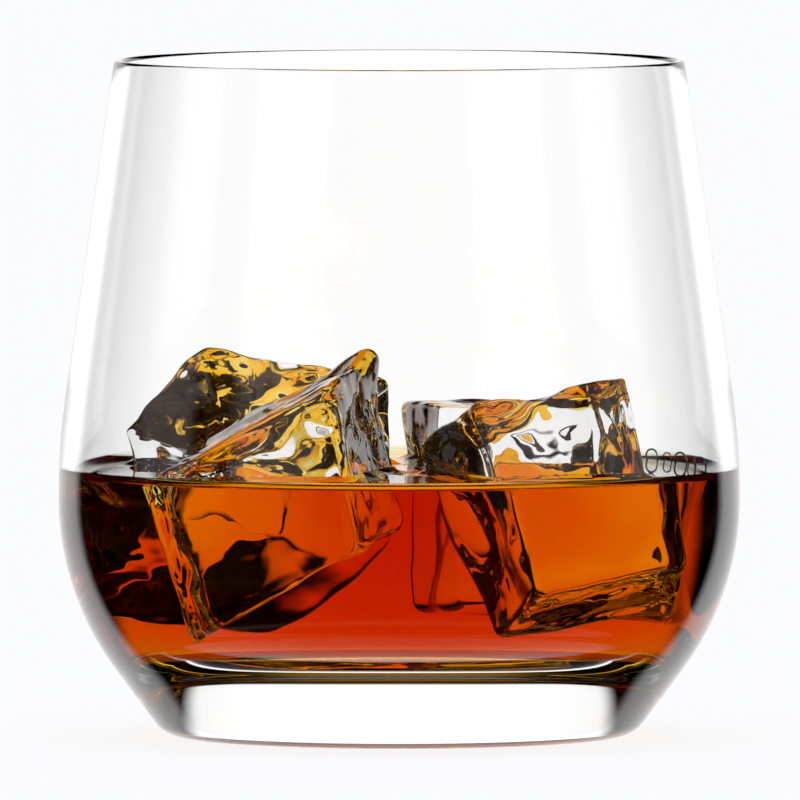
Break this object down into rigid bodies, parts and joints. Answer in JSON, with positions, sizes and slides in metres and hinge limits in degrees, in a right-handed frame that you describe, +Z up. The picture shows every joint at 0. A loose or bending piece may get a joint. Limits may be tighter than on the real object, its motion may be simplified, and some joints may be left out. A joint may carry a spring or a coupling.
{
  "type": "whiskey tumbler",
  "caption": "Round-bellied whiskey tumbler in clear glass with a heavy base, holding whisky and loose ice cubes that lift out over the rim.",
  "frame": {"origin": "centre of the ring the glass stands on, at table height", "axes": "+Z up along the axis of the glass, -Y to the front, where the viewer stands, and +X to the viewer's right"},
  "size_m": [0.0904, 0.0904, 0.0896],
  "materials": {
    "crystal_glass": "polished",
    "whisky": "polished",
    "clear_ice": "polished"
  },
  "bodies": {
    "glass": {"glass_tumbler": "crystal_glass", "whisky": "whisky"},
    "left_ice": {"ice_cube_left": "clear_ice"},
    "centre_ice": {"ice_cube_centre": "clear_ice"},
    "right_ice": {"ice_cube_right": "clear_ice"},
    "rear_ice": {"ice_cube_rear": "clear_ice"}
  },
  "joints": [
    {"name": "left_ice_lift", "type": "slide", "parent": "glass", "child": "left_ice", "axis": [0.119, -0.0496, 0.9917], "range_m": [0, 0.118], "deforming": ["whisky"]},
    {"name": "centre_ice_lift", "type": "slide", "parent": "glass", "child": "centre_ice", "axis": [0.0449, 0.0499, 0.9977], "range_m": [0, 0.084], "deforming": ["whisky"]},
    {"name": "right_ice_lift", "type": "slide", "parent": "glass", "child": "right_ice", "axis": [-0.0499, 0.02, 0.9986], "range_m": [0, 0.118], "deforming": ["whisky"]},
    {"name": "rear_ice_lift", "type": "slide", "parent": "glass", "child": "rear_ice", "axis": [-0.02, -0.0449, 0.9988], "range_m": [0, 0.082], "deforming": ["whisky"]}
  ]
}
